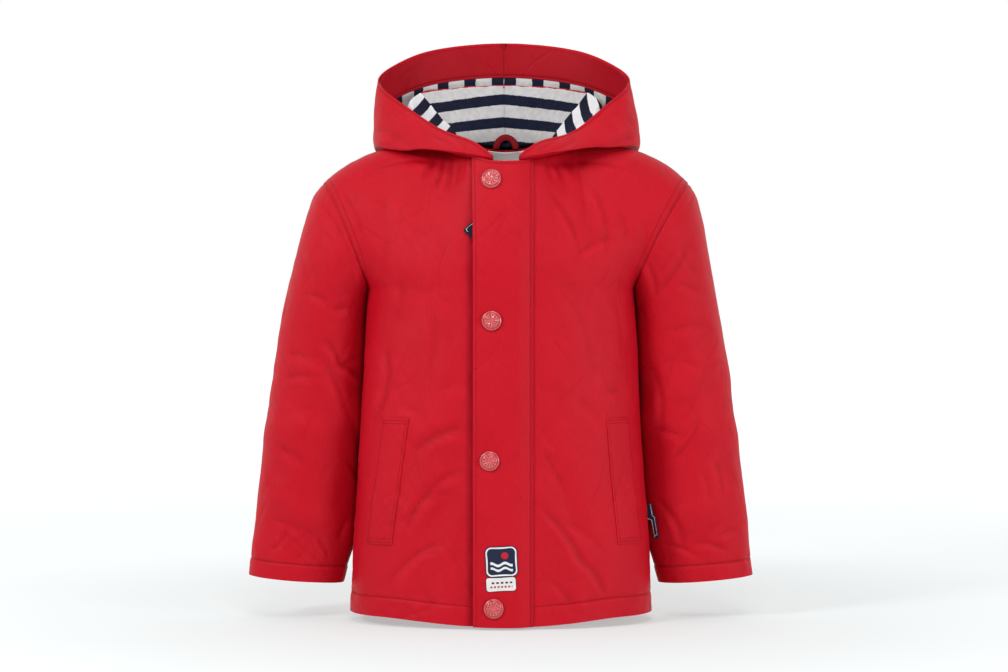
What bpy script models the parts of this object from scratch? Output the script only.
"""A child's hooded rain jacket, filled out as if worn, with nobody in it.

Frame: +Z is up, the front faces -Y, and the origin is the middle of the neck opening,
level with the high points of the shoulders. The tables are in millimetres; MM turns
them into Blender's metres. Every cloth piece is a wall of even thickness whose outer
face is a surface worked out from the tables, and neighbours keep a small seam gap.
"""

import bmesh
import bpy
import numpy as np

MM = 0.001

# Cloth
SHELL_WALL = 1.5        # coated cotton shell with its backing
HOOD_WALL = 1.2         # hood shell, facing and lining
FLAP_WALL = 1.6         # two layers turned and pressed
SEAM_GAP = 0.35         # air between neighbouring pieces

# Body
HEM_Z = -440.0
ARMPIT_Z = -141.0
SIDE_Y = -10.0          # the side seams hang a little in front of the middle
SIDE_ROUND = 0.64       # handle of the section's curve, 0.55 would be an ellipse
TORSO = {               # z: half width, front y, back y
    -440.0: (137.5, -90.0, 84.0),
    -380.0: (135.2, -89.5, 84.0),
    -290.0: (129.4, -88.5, 83.0),
    -200.0: (124.5, -87.5, 82.0),
    -141.0: (122.2, -86.0, 80.0),
}
HEM_LIFT = 6.5          # the hem rises this much away from the middle
SHOULDER_U = 0.42       # share of a panel's top edge that is neckline
SHOULDER_TIP = (168.0, -3.0, -45.0)
SHOULDER_DROP = 13.0    # even slope of the shoulder seam, then it rounds off by:
SHOULDER_ROUND = 28.0

# Soft troughs of the fronts and the back: middle x and z, lean from upright (degrees),
# size, depth
FRONT_FOLDS = [
    dict(x=92, z=-172, lean=58, length=34, width=13, depth=2.6),
    dict(x=60, z=-345, lean=25, length=48, width=13, depth=2.4),
    dict(x=78, z=-235, lean=-8, length=42, width=16, depth=1.8),
]
BACK_FOLDS = [
    dict(x=94, z=-165, lean=60, length=36, width=14, depth=3.0),
    dict(x=34, z=-300, lean=6, length=70, width=16, depth=2.6),
    dict(x=92, z=-350, lean=-10, length=50, width=15, depth=2.2),
]

# Neck seam, by angle from the centre front (degrees)
NECK_HALF_WIDTH = 58.0
NECK_HALF_DEPTH = 65.0
NECK_Y = -8.0
NECK_Z = {0: -30.0, 35: -29.5, 55: -25.0, 75: -12.0, 90: -4.0, 120: -4.0, 180: -9.0}
NECK_SHIFT = 4.5        # the closing sits this far towards the wearer's left
NECK_SHIFT_REACH = 80.0 # and what lies further out follows only above the chest:
SHIFT_Z = (-160.0, -20.0)
RIM_SHIFT = 2.6         # the hood's rim sits less far over

# Handles of the upper front and upper back, from the armpit row and from the top edge
FRONT_RISE = ((0, -2, 38), (-8, -64, 0))     # at the centre, at the armhole
BACK_RISE = ((0, 4, 38), (-6, 62, 0))
FRONT_TOP = {0.0: (0, -8, -34), 0.25: (5, -20, -26), 0.42: (4, -44, -4), 0.7: (0, -54, 0),
             1.0: (-8, -64, 0)}
BACK_TOP = {0.0: (0, 22, -30), 0.25: (3, 34, -22), 0.42: (2, 46, -4), 0.7: (0, 54, 0),
            1.0: (-6, 62, 0)}

# Sleeve, by share of its outer length: outer x, outer z, inner x, inner z, half depth, middle y
SLEEVE = {
    0.000: (168.0, -45.0, 122.0, -141.0, 48.0, -6.5),
    0.036: (175.4, -56.0, 123.2, -147.0, 50.0, -4.0),
    0.096: (181.8, -77.0, 123.8, -156.0, 51.0, -1.0),
    0.178: (188.8, -106.0, 124.5, -170.0, 49.5, 2.0),
    0.279: (196.7, -142.0, 125.3, -192.0, 47.0, 5.0),
    0.393: (204.2, -183.0, 126.7, -222.0, 44.5, 8.0),
    0.515: (210.9, -227.0, 128.6, -258.0, 42.5, 10.0),
    0.659: (217.9, -279.0, 131.1, -300.0, 40.5, 11.0),
    0.810: (224.3, -334.0, 134.3, -348.0, 38.0, 11.0),
    0.900: (227.9, -366.0, 136.6, -375.5, 36.2, 11.0),
    0.953: (230.1, -386.0, 140.6, -394.0, 35.0, 11.0),
    1.000: (232.0, -403.0, 145.0, -410.0, 34.0, 11.0),
}
SLEEVE_SET_IN = 0.75    # the sleeve head starts this far outside the armhole

# Soft folds of a sleeve: where along, angle round (degrees, 90 is the front), run along,
# half width, depth
SLEEVE_FOLDS = [
    dict(along=0.50, angle=128.0, slant=70.0, width=0.050, depth=-4.0),
    dict(along=0.62, angle=52.0, slant=-50.0, width=0.045, depth=-2.5),
    dict(along=0.83, angle=100.0, slant=60.0, width=0.040, depth=-3.0),
    dict(along=0.70, angle=250.0, slant=-60.0, width=0.050, depth=-3.0),
    dict(along=0.45, angle=300.0, slant=40.0, width=0.050, depth=-2.5),
]

# Hood, by share of the way round from the centre front to the centre back
HOOD_START = 12.0       # the hood starts this far from the centre front
HOOD_RIM = {                # the edge of the opening
    0.00: (12, -77, -23.5), 0.12: (28, -66, -11), 0.27: (60, -43, 7), 0.40: (90, -18, 26),
    0.52: (112, 5, 44), 0.60: (117, 22, 53), 0.72: (106, 52, 69), 0.84: (73, 80, 87), 1.00: (0, 98, 97),
}
HOOD_DROOP = {              # the outer fold that lies on the shoulders and hangs at the back
    0.00: (12.5, -78, -26), 0.12: (32, -79, -23.5), 0.27: (62, -70, -19), 0.40: (92, -48, -15),
    0.52: (118, -14, -12), 0.60: (123, 12, -13), 0.72: (113, 55, -25), 0.84: (76, 92, -44),
    1.00: (0, 112, -56),
}
HOOD_UNDER = {              # the underside, on its way back to the neck seam
    0.00: (12, -75.5, -28.3), 0.12: (32, -70, -25.5), 0.27: (57, -56, -18.5), 0.40: (77, -33, -2),
    0.52: (90, -8, 2), 0.60: (92, 12, 1), 0.72: (84, 50, -11), 0.84: (57, 78, -28), 1.00: (0, 90, -41),
}
HOOD_RIDGE = {              # the top of the lining's standing fold
    0.40: (80, -12, 15), 0.52: (88, 10, 27.5), 0.62: (85, 34, 36), 0.73: (75, 56, 45),
    0.80: (60, 62, 47.5), 1.00: (0, 71, 53),
}
HOOD_BAG = {                # the bottom of the bag between that fold and the rim
    0.40: (86, -14, 16), 0.52: (99, 4, 14), 0.60: (102, 20, 6), 0.72: (94, 50, -4),
    0.84: (66, 76, -14), 1.00: (0, 92, -24),
}
HOOD_SWELL = 2.5        # how far the hood's outside bellies out
HOOD_FOLD_STARTS = 0.38 # the folded-over bag begins here, and is full at:
HOOD_FOLD_FULL = 0.60
HOOD_RIM_SAG = {"right": 0.0, "left": 7.0}   # the wearer's left edge dips more
RIDGE_HALF = 5.0
BAG_HALF = 9.0
FACING_WIDTH = 34.0
FACING_GAP = 0.6
LINING_INSET = 3.4      # the lining's neck edge stands inside the shell's, and above it by:
LINING_RAISE = 1.9

# Closing
ZIP_HALF = 3.6
ZIP_LIFT = 0.9          # the coil stands proud of the shell
FLAP_LEFT, FLAP_RIGHT = -28.5, 23.5
FLAP_STAND = 3.2        # the flap stands off the front over the zip
SNAP_RADIUS = 8.6
SNAP_HEIGHT = 2.8
SNAPS = {"snap_1": (-13.2, -45.0), "snap_2": (-12.4, -170.7), "snap_3": (-14.2, -293.7),
         "snap_4": (-10.7, -422.9)}
BADGE = dict(x=-4.0, z=-380.5, half_width=14.0, half_height=14.0, corner=5.0, turn=3.0)
BADGE_TAB = dict(x=-4.3, z=-401.5, half_width=13.2, half_height=6.2, corner=2.4, turn=3.0)
BADGE_WALL = 1.0
SLIDER = dict(z=-66.0, half_width=4.6, half_height=6.0, thick=1.4)
PULL = dict(x=-17.4, z=-86.4, half_width=10.0, half_height=16.5, corner=1.5, turn=-45.0, thick=1.3)

# Pocket welts: the middles of their upper and lower ends (x, z)
WELTS = {
    "pocket_welt_right": dict(top=(-94.0, -257.0), bottom=(-108.5, -369.5), width=23.0),
    "pocket_welt_left": dict(top=(103.0, -256.5), bottom=(114.0, -369.0), width=22.0),
}
WELT_WALL = 1.3
WELT_GAP = 0.55
# The label in the side seam: corners by reach from the seam and height
LABEL = [(0, -337.5), (3.8, -337.5), (4.2, -347.5), (6.8, -348), (9.4, -366.5), (5.4, -370),
         (2.8, -352), (0, -351)]
LABEL_WALL = 0.9
LABEL_GAP = 0.5
LABEL_OUT = (0.80, -0.60, 0.0)
# The hanger loop stands up from the back neck seam against the lining
LOOP = dict(half_width=11.5, height=14.0, tape=4.6, wall=1.2, seam_z=-8.6, lift=1.0)

COLOURS = {              # base colour, roughness, metallic
    "shell_red": ((0.62, 0.012, 0.025), 0.62, 0.0),
    "stripe_cotton": ((0.80, 0.80, 0.78), 0.90, 0.0),
    "snap_red": ((0.72, 0.05, 0.05), 0.35, 0.0),
    "navy_weave": ((0.020, 0.028, 0.060), 0.75, 0.0),
    "white_weave": ((0.85, 0.83, 0.80), 0.80, 0.0),
}


# ---- curves -----------------------------------------------------------------------------

def through(table, t):
    """The smooth curve through a table's rows, read at t: a cubic between each two rows."""
    stations = np.array(list(table), float)
    rows = np.array(list(table.values()), float).reshape(len(stations), -1)
    slopes = np.gradient(rows, stations, axis=0)
    t = np.clip(np.asarray(t, float), stations[0], stations[-1])
    i = np.clip(np.searchsorted(stations, t, side="right") - 1, 0, len(stations) - 2)
    span = (stations[i + 1] - stations[i])[..., None]
    k = (t - stations[i])[..., None] / span
    return (
        rows[i] * (2 * k**3 - 3 * k**2 + 1)
        + slopes[i] * span * (k**3 - 2 * k**2 + k)
        + rows[i + 1] * (3 * k**2 - 2 * k**3)
        + slopes[i + 1] * span * (k**3 - k**2)
    )


def mirrored(table):
    """The table with one more row past its end, so that the curve crosses the middle squarely."""
    stations = list(table)
    before, last = stations[-2], stations[-1]
    x, y, z = table[before]
    return {**table, 2 * last - before: (-x, y, z)}


def bezier(p0, p1, p2, p3, t):
    """The cubic with two ends and two handles."""
    t = np.asarray(t, float)[..., None]
    return p0 * (1 - t) ** 3 + 3 * p1 * t * (1 - t) ** 2 + 3 * p2 * t**2 * (1 - t) + p3 * t**3


def spline(controls, t):
    """A cubic B-spline that starts and ends at the first and last control."""
    count = len(controls)
    knots = np.concatenate([np.zeros(3), np.linspace(0, 1, count - 2), np.ones(3)])
    t = np.clip(np.asarray(t, float), 0, 1 - 1e-9)
    basis = [((knots[i] <= t) & (t < knots[i + 1])).astype(float) for i in range(len(knots) - 1)]
    for degree in (1, 2, 3):
        step = []
        for i in range(len(basis) - 1):
            left, right = knots[i + degree] - knots[i], knots[i + degree + 1] - knots[i + 1]
            term = np.zeros_like(t)
            if left > 0:
                term = term + (t - knots[i]) / left * basis[i]
            if right > 0:
                term = term + (knots[i + degree + 1] - t) / right * basis[i + 1]
            step.append(term)
        basis = step
    return sum(b[..., None] * c for b, c in zip(basis, controls))


def ease(t):
    t = np.clip(t, 0, 1)
    return t * t * (3 - 2 * t)


def unit(v):
    return v / np.maximum(np.linalg.norm(v, axis=-1, keepdims=True), 1e-9)


def vec(*parts):
    return np.stack(np.broadcast_arrays(*[np.asarray(p, float) for p in parts]), axis=-1)


def grid(first, second):
    return np.meshgrid(first, second, indexing="ij")


# ---- the body's surfaces ----------------------------------------------------------------

def neck(angle):
    """A point of the neck seam. 0 degrees is the centre front, 180 the centre back."""
    turn = np.radians(angle)
    x = NECK_HALF_WIDTH * np.sin(turn)
    y = NECK_Y - NECK_HALF_DEPTH * np.cos(turn)
    return vec(x, y, through(NECK_Z, angle)[..., 0])


def section(u, z, side):
    """A quarter of the body's section at height z, from the centre (u 0) to the side seam (u 1)."""
    half_width, front, back = np.moveaxis(through(dict(sorted(TORSO.items())), z), -1, 0)
    middle = front if side == "front" else back
    p0 = vec(0, middle, z)
    p1 = vec(half_width * SIDE_ROUND, middle, z)
    p2 = vec(half_width, SIDE_Y + (middle - SIDE_Y) * SIDE_ROUND, z)
    p3 = vec(half_width, SIDE_Y, z)
    return bezier(p0, p1, p2, p3, u)


def top_edge(u, side):
    """The neckline from the centre to the shoulder's high point, then the shoulder seam."""
    along_neck = 90 * np.clip(u / SHOULDER_U, 0, 1)
    neckline = neck(along_neck if side == "front" else 180 - along_neck)
    s = np.clip((u - SHOULDER_U) / (1 - SHOULDER_U), 0, 1)
    start = neck(np.array(90.0))
    tip = np.array(SHOULDER_TIP)
    x = start[0] + (tip[0] - start[0]) * s
    y = start[1] + (tip[1] - start[1]) * s
    drop = (SHOULDER_DROP * s + SHOULDER_ROUND * s**3.5) / (SHOULDER_DROP + SHOULDER_ROUND)
    z = start[2] + (tip[2] - start[2]) * drop
    return np.where((u > SHOULDER_U)[..., None], vec(x, y, z), neckline)


def troughs(x, z, folds):
    """The summed depth of soft troughs, each a smooth dent along a leaning line."""
    total = np.zeros(np.broadcast(x, z).shape)
    for fold in folds:
        lean = np.radians(fold["lean"])
        off_x, off_z = x - fold["x"], z - fold["z"]
        across = (off_x * np.cos(lean) + off_z * np.sin(lean)) / fold["width"]
        along = (off_z * np.cos(lean) - off_x * np.sin(lean)) / fold["length"]
        total = total + fold["depth"] * np.exp(-(across**2) - along**2)
    return total


ARMPIT_V = 0.6           # a panel's rows below this are the straight body
BODY_STEPS = 7
ARMHOLE_STEPS = 12


def panel(u, v, side):
    """Front or back: u runs from the centre to the side, v from the hem to the top edge."""
    u, v = np.broadcast_arrays(np.asarray(u, float), np.asarray(v, float))
    low = np.clip(v / ARMPIT_V, 0, 1)
    z = HEM_Z + (ARMPIT_Z - HEM_Z) * low + HEM_LIFT * ease(u / 0.55) * (1 - low) ** 3
    straight = section(u, z, side)
    w = np.clip((v - ARMPIT_V) / (1 - ARMPIT_V), 0, 1)
    rise = FRONT_RISE if side == "front" else BACK_RISE
    near_side = u[..., None] ** 3
    lift = np.array(rise[0]) * (1 - near_side) + np.array(rise[1]) * near_side
    reach = through(FRONT_TOP if side == "front" else BACK_TOP, u)
    start, top = section(u, np.full_like(u, ARMPIT_Z), side), top_edge(u, side)
    upper = bezier(start, start + lift, top + reach, top, w)
    points = np.where((v > ARMPIT_V)[..., None], upper, straight)
    loose = (1 - u**8) * (1 - ease((v - 0.9) / 0.08))
    folds = FRONT_FOLDS if side == "front" else BACK_FOLDS
    trough = loose * troughs(points[..., 0], points[..., 2], folds)
    return points + vec(0, trough if side == "front" else -trough, 0)


def armhole(angle):
    """The armhole edge. 0 degrees is the shoulder tip, 90 the front, 180 the armpit."""
    angle = np.mod(angle, 360)
    side, rise = np.ones_like(angle), 1 - ARMPIT_V
    front = panel(side, 1 - rise * np.clip(angle / 180, 0, 1), "front")
    rear = panel(side, ARMPIT_V + rise * np.clip((angle - 180) / 180, 0, 1), "back")
    return np.where((angle > 180)[..., None], rear, front)


def sleeve(angle, v):
    """The sleeve's outside: angle round as on the armhole, v from the sleeve head to the cuff."""
    angle, v = np.broadcast_arrays(np.asarray(angle, float), np.asarray(v, float))
    outer_x, outer_z, inner_x, inner_z, depth, middle_y = np.moveaxis(through(SLEEVE, v), -1, 0)
    turn = np.radians(angle)
    x = (outer_x + inner_x) / 2 + (outer_x - inner_x) / 2 * np.cos(turn)
    z = (outer_z + inner_z) / 2 + (outer_z - inner_z) / 2 * np.cos(turn)
    y = middle_y - depth * np.sin(turn)
    plain = vec(x, y, z)
    under_arm = np.clip(-np.cos(turn), 0, 1)[..., None] ** 2
    set_in = np.array([0.9, 0.0, -0.436]) * SLEEVE_SET_IN + np.array([0.5, 0, -0.6]) * under_arm
    outer_x, outer_z, inner_x, inner_z, depth, middle_y = SLEEVE[0.0]
    at_head = vec(
        (outer_x + inner_x) / 2 + (outer_x - inner_x) / 2 * np.cos(turn),
        middle_y - depth * np.sin(turn),
        (outer_z + inner_z) / 2 + (outer_z - inner_z) / 2 * np.cos(turn),
    )
    return plain + (armhole(angle) + set_in - at_head) * (1 - ease(v / 0.16))[..., None]


def sleeve_folds(angle, v):
    """How far the soft folds push the sleeve's cloth in, in millimetres."""
    total = np.zeros(np.broadcast(angle, v).shape)
    for fold in SLEEVE_FOLDS:
        off = (np.mod(angle - fold["angle"] + 180, 360) - 180) / 90
        across = (v - fold["along"] - off * fold["slant"] / 900) / fold["width"]
        total = total + fold["depth"] * np.exp(-(across**2) - (off * 1.5) ** 2)
    return total


# ---- the hood's surfaces ----------------------------------------------------------------

HOOD_ANGLE = np.degrees(np.arcsin(HOOD_START / NECK_HALF_WIDTH))


def hood_frame(p, wearer_side):
    """Neck seam, rim, drooping fold, underside and outward direction at p, front 0 to back 1."""
    seam = neck(HOOD_ANGLE + (180 - HOOD_ANGLE) * p) + np.array([0, 0, SEAM_GAP * 2])
    sag = HOOD_RIM_SAG[wearer_side] * np.exp(-(((p - 0.27) / 0.10) ** 2))
    rim = through(mirrored(HOOD_RIM), p) - vec(0, 0, sag)
    droop, under = through(mirrored(HOOD_DROOP), p), through(mirrored(HOOD_UNDER), p)
    out = unit((droop - np.array([0, NECK_Y, 0])) * np.array([1, 1, 0]))
    return seam, rim, droop, under, out


def hood_outside(p, s, wearer_side):
    """The hood's red outside: s runs from the rim, over the droop, and under to the neck seam."""
    p, s = np.broadcast_arrays(np.asarray(p, float), np.asarray(s, float))
    seam, rim, droop, under, out = hood_frame(p, wearer_side)
    swell = out * (HOOD_SWELL * ease(p / 0.5))[..., None]
    front = 1 - ease((p - 0.3) / 0.3)[..., None]
    back = ease((p - 0.62) / 0.3)[..., None]
    above = 0.25 + 0.30 * front + 0.17 * back
    below, low = 0.12 + 0.68 * front + 0.22 * back, 0.70 + 0.24 * front
    controls = [
        rim,
        rim * 0.72 + droop * 0.28 + swell,
        rim * above + droop * (1 - above) + swell,
        droop,
        droop * (1 - below) + under * below,
        droop * (1 - low) + under * low,
        under,
        seam,
    ]
    return spline(controls, s)


def hood_inside(p, s, wearer_side):
    """Facing and lining: s runs from the rim down into the bag, over the ridge, to the neck."""
    p, s = np.broadcast_arrays(np.asarray(p, float), np.asarray(s, float))
    seam, _, _, _, out = hood_frame(p, wearer_side)
    inset = HOOD_WALL * 2 + SEAM_GAP
    rim = moved(lambda a, b: hood_outside(a, b, wearer_side), p, np.zeros_like(p) + 0.001, inset)
    foot = seam - out * LINING_INSET + np.array([0, 0, LINING_RAISE])
    ridge, bag = through(mirrored(HOOD_RIDGE), p), through(mirrored(HOOD_BAG), p)
    open_up = ease((p - HOOD_FOLD_STARTS) / (HOOD_FOLD_FULL - HOOD_FOLD_STARTS))[..., None]
    apart = np.linalg.norm((bag - ridge)[..., :2], axis=-1, keepdims=True)
    into_bag = out * np.minimum(BAG_HALF, apart * 0.5)
    over_ridge = out * np.minimum(RIDGE_HALF, apart * 0.28)
    up = np.array([0, 0, 1.0])
    bag_side = up * np.clip((ridge - bag)[..., 2:] * 0.45, 2, 14)
    folded = [
        rim,
        rim * 0.62 + bag * 0.38 + out * 3,
        bag + into_bag + bag_side,
        bag - up * 3,
        bag - into_bag + bag_side,
        ridge + over_ridge - up * 6,
        ridge + up * 5,
        ridge - over_ridge - up * 6,
        foot * 0.6 + ridge * 0.4 - out * 2,
        foot,
    ]
    last = len(folded) - 1
    controls = [
        (rim * (1 - i / last) + foot * (i / last)) * (1 - open_up) + control * open_up
        for i, control in enumerate(folded)
    ]
    return spline(controls, s)


# ---- points on a surface ----------------------------------------------------------------

def normal(surface, a, b, step=1e-3):
    """The surface's unit normal, from its slopes along both of its parameters."""
    along = surface(np.minimum(a + step, 1), b) - surface(np.maximum(a - step, 0), b)
    up = surface(a, np.minimum(b + step, 1)) - surface(a, np.maximum(b - step, 0))
    return unit(np.cross(along, up))


def moved(surface, a, b, lift):
    """Points of a surface moved out along its normal."""
    lift = np.asarray(lift, float)
    return surface(a, b) + normal(surface, a, b) * (lift[..., None] if lift.ndim else lift)


FRONT_U = np.linspace(0, 0.9, 160)
FRONT_V = np.linspace(0, 1, 321)
FRONT = panel(FRONT_U[None, :], FRONT_V[:, None], "front")


def front_u(x, v):
    """The u at which the front panel's row v passes x."""
    found = []
    for at_x, at_v in zip(np.ravel(x), np.ravel(v)):
        row = at_v * (len(FRONT_V) - 1)
        low = min(int(row), len(FRONT_V) - 2)
        ends = [np.interp(at_x, FRONT[i, :, 0], FRONT_U) for i in (low, low + 1)]
        found.append(ends[0] + (ends[1] - ends[0]) * (row - low))
    return np.reshape(found, np.shape(x))


def front_v(x, z):
    """The v at which the front panel passes height z at x."""
    return float(np.interp(z, [np.interp(abs(x), row[:, 0], row[:, 2]) for row in FRONT], FRONT_V))


def on_front(x, v, lift):
    """A point on either front panel, moved out: x is signed, v runs up the panel."""
    x, v, lift = (np.array(a, float) for a in np.broadcast_arrays(x, v, lift))
    u = front_u(np.abs(x), v)
    points = moved(lambda a, b: panel(a, b, "front"), u, v, lift)
    return points * np.where(x < 0, -1, 1)[..., None] ** np.array([1, 0, 0])


def flap_lift(x):
    """The flap's outer face: pressed down at its seam, standing off over the zip."""
    return FLAP_WALL + SEAM_GAP + FLAP_STAND * ease((FLAP_RIGHT - x) / 15)


def shift(points):
    """The closing and all above the chest sit a little towards the wearer's left."""
    near_middle = np.exp(-((points[..., :1] / NECK_SHIFT_REACH) ** 4))
    high = ease((points[..., 2:] - SHIFT_Z[0]) / (SHIFT_Z[1] - SHIFT_Z[0]))
    amount = NECK_SHIFT * (1 - (1 - near_middle) * (1 - high))
    amount = amount + (RIM_SHIFT - NECK_SHIFT) * ease(points[..., 2:] / 50)
    return points + amount * np.array([1, 0, 0])


# ---- solids -----------------------------------------------------------------------------

def material(name):
    found = bpy.data.materials.get(name)
    if found is None:
        found = bpy.data.materials.new(name)
        found.use_nodes = True
        colour, roughness, metallic = COLOURS[name]
        shader = found.node_tree.nodes["Principled BSDF"]
        shader.inputs["Base Color"].default_value = (*colour, 1)
        shader.inputs["Roughness"].default_value = roughness
        shader.inputs["Metallic"].default_value = metallic
        found.diffuse_color = (*colour, 1)
    return found


def add_object(name, mesh, material_name):
    mesh.materials.append(material(material_name))
    mesh.shade_smooth()
    mesh.set_sharp_from_angle(angle=np.radians(40))
    found = bpy.data.objects.new(name, mesh)
    bpy.context.scene.collection.objects.link(found)
    return found


def grid_faces(rows, columns, closed):
    """Quads between the points of a grid, and across its ends if it is a tube."""
    across = columns if closed else columns - 1
    row, column = (a.ravel() for a in grid(np.arange(rows - 1), np.arange(across)))
    right = (column + 1) % columns
    return np.stack([row * columns + column, row * columns + right,
                     (row + 1) * columns + right, (row + 1) * columns + column], axis=1)


def cloth(name, points, wall, material_name, closed=False, flip=False, mirror=False):
    """A wall of cloth: the grid of points is its outer face, and the wall goes inwards."""
    points = shift(points * np.array([-1, 1, 1]) if mirror else points)
    rows, columns = points.shape[:2]
    faces = grid_faces(rows, columns, closed)
    if flip != mirror:
        faces = faces[:, [0, 3, 2, 1]]
    mesh = bpy.data.meshes.new(name)
    mesh.from_pydata((points.reshape(-1, 3) * MM).tolist(), [], faces.tolist())
    made = add_object(name, mesh, material_name)
    solid = made.modifiers.new("wall", "SOLIDIFY")
    solid.thickness = wall * MM
    solid.offset = -1
    solid.use_quality_normals = True
    return made


# Columns that neighbouring pieces share, so that their edges run side by side
FRONT_ANGLES = np.linspace(HOOD_ANGLE, 90, 7)
BACK_ANGLES = np.linspace(90, 180, 8)
SHOULDER_COLUMNS = SHOULDER_U + (1 - 0.0015 - SHOULDER_U) * np.linspace(0.2, 1, 5)
HALF_BACK = np.concatenate([SHOULDER_U * (180 - BACK_ANGLES[::-1]) / 90, SHOULDER_COLUMNS])
BACK_COLUMNS = np.concatenate([-HALF_BACK[:0:-1], HALF_BACK])


def panel_rows():
    """Rows shared by the pieces of the body. The upper ones meet the sleeve's points."""
    upper = np.linspace(ARMPIT_V, 1, ARMHOLE_STEPS + 1)[1:]
    upper[-1] -= 0.0015
    return np.concatenate([np.linspace(0, ARMPIT_V, BODY_STEPS + 1), upper])


def front_panels():
    """Two fronts that meet the zip, each from the hem to its neckline and shoulder seam."""
    rows = panel_rows()
    columns = np.concatenate([[0], SHOULDER_U * FRONT_ANGLES / 90, SHOULDER_COLUMNS])
    v, u = grid(rows, columns)
    u[:, 0] = front_u(np.full_like(rows, ZIP_HALF + SEAM_GAP), rows)
    points = panel(u, v, "front")
    cloth("front_left", points, SHELL_WALL, "shell_red")
    cloth("front_right", points, SHELL_WALL, "shell_red", mirror=True)


def back_panel():
    """One back, from side seam to side seam."""
    v, u = grid(panel_rows(), BACK_COLUMNS)
    points = panel(np.abs(u), v, "back") * np.where(u < 0, -1, 1)[..., None] ** np.array([1, 0, 0])
    cloth("back", points, SHELL_WALL, "shell_red", flip=True)


def sleeves():
    """Two one-piece sleeves, each a tube from the armhole to the cuff."""
    v, angle = grid(np.concatenate([[0, 0.03], np.linspace(0.08, 1, 13)]),
                    np.arange(0, 360, 180 / ARMHOLE_STEPS))

    def surface(a, b):
        return sleeve(a * 360, b)

    out = -normal(surface, angle / 360 % 1, v)
    points = sleeve(angle, v) + out * sleeve_folds(angle, v)[..., None]
    cloth("sleeve_left", points, SHELL_WALL, "shell_red", closed=True)
    cloth("sleeve_right", points, SHELL_WALL, "shell_red", closed=True, mirror=True)


def facing_share(p, wearer_side, beyond=0.0):
    """The s at which the facing ends, or so many millimetres beyond it, measured from the rim."""
    tries = np.linspace(0, 0.75, 90)
    shares = []
    for at in np.ravel(p):
        line = hood_inside(np.full_like(tries, at), tries, wearer_side)
        length = np.concatenate([[0], np.cumsum(np.linalg.norm(np.diff(line, axis=0), axis=1))])
        shares.append(np.interp(min(FACING_WIDTH, length[-1] * 0.75) + beyond, length, tries))
    return np.array(shares)


def to_middle(points):
    """The last row of a half hood, brought to half a seam gap from the middle."""
    points[-1, :, 0] = SEAM_GAP / 2
    return points


def hood():
    """Outer hood, facing and striped lining, each in a left and a right half."""
    angles = np.concatenate([FRONT_ANGLES, BACK_ANGLES[1:]])
    between = (angles[1:] + angles[:-1]) / 2
    around = (np.sort(np.concatenate([angles, between[4:]])) - HOOD_ANGLE) / (180 - HOOD_ANGLE)
    for wearer_side, mirror in (("left", False), ("right", True)):
        p, s = grid(around, np.linspace(0, 1, 14))
        cloth(f"hood_{wearer_side}", to_middle(hood_outside(p, s, wearer_side)), HOOD_WALL,
              "shell_red", mirror=mirror)
        ends = facing_share(around, wearer_side)
        share = np.linspace(0, 1, 4)[None, :]
        p, s = around[:, None] + 0 * share, 0.002 + (ends[:, None] - 0.002) * share
        cloth(f"hood_facing_{wearer_side}", to_middle(hood_inside(p, s, wearer_side)), HOOD_WALL,
              "shell_red", flip=True, mirror=mirror)
        share = np.linspace(0, 1, 18)[None, :]
        start = facing_share(around, wearer_side, FACING_GAP)[:, None]
        p, s = around[:, None] + 0 * share, start + (1 - start) * share
        cloth(f"hood_lining_{wearer_side}", to_middle(hood_inside(p, s, wearer_side)), HOOD_WALL,
              "stripe_cotton", flip=True, mirror=mirror)


def neck_lining():
    """The pale piece inside the back neck, from shoulder to shoulder."""
    v, u = grid(panel_rows()[-6:], BACK_COLUMNS[np.abs(BACK_COLUMNS) < 0.37])
    depth = SHELL_WALL + SEAM_GAP + 0.15 + HOOD_WALL
    points = moved(lambda a, b: panel(a, b, "back"), np.abs(u), v, depth)
    points = points * np.where(u < 0, -1, 1)[..., None] ** np.array([1, 0, 0])
    cloth("neck_lining", points, HOOD_WALL, "stripe_cotton")


def solid(name, points, faces, material_name):
    """A closed body from its points in millimetres and its faces."""
    mesh = bpy.data.meshes.new(name)
    mesh.from_pydata((shift(points) * MM).tolist(), [], faces)
    work = bmesh.new()
    work.from_mesh(mesh)
    bmesh.ops.recalc_face_normals(work, faces=work.faces)
    work.to_mesh(mesh)
    work.free()
    return add_object(name, mesh, material_name)


def plate(name, outline, low, high, material_name):
    """A flat piece on the front: an outline of x and z, between two heights off the front."""
    count = len(outline)
    x = np.array([x for x, z in outline])
    v = np.array([front_v(x, z) for x, z in outline])
    low, high = (np.array([h(xi) if callable(h) else h for xi in x]) for h in (low, high))
    points = np.concatenate([on_front(x, v, low), on_front(x, v, high)])
    sides = [(i, (i + 1) % count, count + (i + 1) % count, count + i) for i in range(count)]
    ends = [tuple(range(count)), tuple(range(2 * count - 1, count - 1, -1))]
    solid(name, points, ends + sides, material_name)


def turned(points, x, z, degrees):
    """Outline points turned about their middle and placed at x, z."""
    cos, sin = np.cos(np.radians(degrees)), np.sin(np.radians(degrees))
    return [(x + a * cos - b * sin, z + a * sin + b * cos) for a, b in points]


def rounded(half_width, half_height, corner, steps=3):
    """The outline of a rectangle with round corners."""
    outline = []
    for quarter, (sx, sz) in enumerate([(1, 1), (-1, 1), (-1, -1), (1, -1)]):
        for turn in np.radians(90 * quarter + np.linspace(0, 90, steps + 1)):
            outline.append((sx * (half_width - corner) + corner * np.cos(turn),
                            sz * (half_height - corner) + corner * np.sin(turn)))
    return outline


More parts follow.
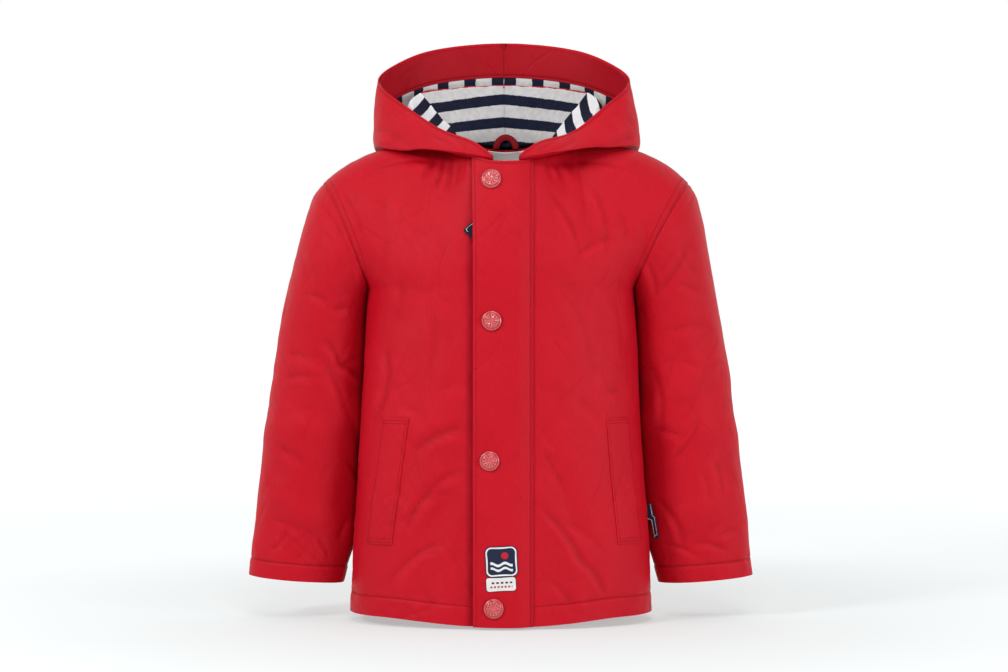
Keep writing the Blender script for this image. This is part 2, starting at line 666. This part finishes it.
def closing():
    """The zip between the fronts, its slider and cloth pull, and the flap over them."""
    rows = panel_rows()
    v, x = grid(rows, np.linspace(-ZIP_HALF, ZIP_HALF, 3) * 0.9)
    cloth("zip_coil", on_front(x, v, ZIP_LIFT), SHELL_WALL + ZIP_LIFT, "shell_red")

    over_coil = ZIP_LIFT + SEAM_GAP
    outline = turned(rounded(SLIDER["half_width"], SLIDER["half_height"], 2.0), 0, SLIDER["z"], 0)
    plate("zip_slider", outline, over_coil, over_coil + SLIDER["thick"], "snap_red")
    outline = rounded(PULL["half_width"], PULL["half_height"], PULL["corner"], steps=2)
    outline = turned(outline, PULL["x"], PULL["z"], PULL["turn"])
    plate("zip_pull", outline, over_coil + SEAM_GAP, over_coil + SEAM_GAP + PULL["thick"], "navy_weave")

    v, x = grid(rows, np.array([FLAP_LEFT, -14.0, 0.0, 8.0, 13.0, 18.0, FLAP_RIGHT]))
    cloth("storm_flap", on_front(x, v, flap_lift(x)), FLAP_WALL, "shell_red")


def snap(name, x, z):
    """A snap cap: a low dome on the flap."""
    v = front_v(x, z)
    centre = on_front(x, v, flap_lift(x) + SEAM_GAP + 0.15)
    out = unit(on_front(x, v, 10.0) - on_front(x, v, 0.0))
    side = unit(np.cross(np.array([0, 0, 1.0]), out))
    up = np.cross(out, side)
    rings = [(1.0, 0.0), (1.0, 0.35), (0.86, 0.72), (0.5, 0.95)]
    count = 18
    turn = np.linspace(0, 2 * np.pi, count, endpoint=False)[:, None]
    around = SNAP_RADIUS * (np.cos(turn) * side + np.sin(turn) * up)
    points = [centre + around * share + SNAP_HEIGHT * rise * out for share, rise in rings]
    points = np.concatenate(points + [(centre + SNAP_HEIGHT * out)[None]])
    faces = [tuple(face) for face in grid_faces(len(rings), count, True)]
    last = (len(rings) - 1) * count
    faces += [(last + i, last + (i + 1) % count, len(points) - 1) for i in range(count)]
    faces.append(tuple(range(count - 1, -1, -1)))
    solid(name, points, faces, "snap_red")


def badges():
    """The woven badge on the flap and the tab below it."""
    for name, shape, weave in (("badge", BADGE, "navy_weave"), ("badge_tab", BADGE_TAB, "white_weave")):
        outline = rounded(shape["half_width"], shape["half_height"], shape["corner"])
        plate(name, turned(outline, shape["x"], shape["z"], shape["turn"]),
              lambda x: flap_lift(x) + SEAM_GAP, lambda x: flap_lift(x) + SEAM_GAP + BADGE_WALL, weave)


def welts():
    """The slanted pocket welts, each a strip on its front."""
    for name, welt in WELTS.items():
        along, across = grid(np.linspace(0, 1, 9), np.linspace(-0.5, 0.5, 4))
        x = welt["bottom"][0] + (welt["top"][0] - welt["bottom"][0]) * along + welt["width"] * across
        z = welt["bottom"][1] + (welt["top"][1] - welt["bottom"][1]) * along
        v = np.array([front_v(a, b) for a, b in zip(x.ravel(), z.ravel())]).reshape(x.shape)
        cloth(name, on_front(x, v, WELT_WALL + WELT_GAP), WELT_WALL, "shell_red")


def side_label():
    """A narrow folded label that stands out of the wearer's left side seam."""
    out = np.array(LABEL_OUT)
    across = np.array([-LABEL_OUT[1], LABEL_OUT[0], 0])
    seam = [panel(1.0, (z - HEM_Z) / (ARMPIT_Z - HEM_Z) * ARMPIT_V, "front") for _, z in LABEL]
    face = np.array([s * [1, 1, 0] + [0, 0, z] + out * (LABEL_GAP + reach)
                     for s, (reach, z) in zip(seam, LABEL)])
    count = len(LABEL)
    points = np.concatenate([face, face + across * LABEL_WALL]) - across * LABEL_WALL / 2
    sides = [(i, (i + 1) % count, count + (i + 1) % count, count + i) for i in range(count)]
    ends = [tuple(range(count)), tuple(range(2 * count - 1, count - 1, -1))]
    solid("side_label", points, ends + sides, "navy_weave")


def hanger_loop():
    """A tape arch against the hood lining, with both ends at the back neck seam."""
    tries = np.linspace(0.72, 1, 60)
    line = hood_inside(np.ones_like(tries), tries, "left")
    turn, edge = grid(np.linspace(0, np.pi, 15), np.array([0.0, 1.0]))
    x = (LOOP["half_width"] - LOOP["tape"] * edge) * np.cos(turn)
    z = LOOP["seam_z"] + (LOOP["height"] - LOOP["tape"] * edge) * np.sin(turn)
    order = np.argsort(line[:, 2])
    wall_y = np.interp(z, line[order, 2], line[order, 1])
    bend = NECK_HALF_DEPTH * (1 - np.sqrt(1 - (x / NECK_HALF_WIDTH) ** 2))
    y = wall_y - bend - LOOP["lift"] - LOOP["wall"]
    cloth("hanger_loop", vec(x, y, z), LOOP["wall"], "shell_red", flip=True)


def clear_scene():
    for found in list(bpy.data.objects):
        bpy.data.objects.remove(found)


def main():
    clear_scene()
    front_panels()
    back_panel()
    sleeves()
    hood()
    neck_lining()
    closing()
    for name, place in SNAPS.items():
        snap(name, *place)
    badges()
    welts()
    side_label()
    hanger_loop()


main()
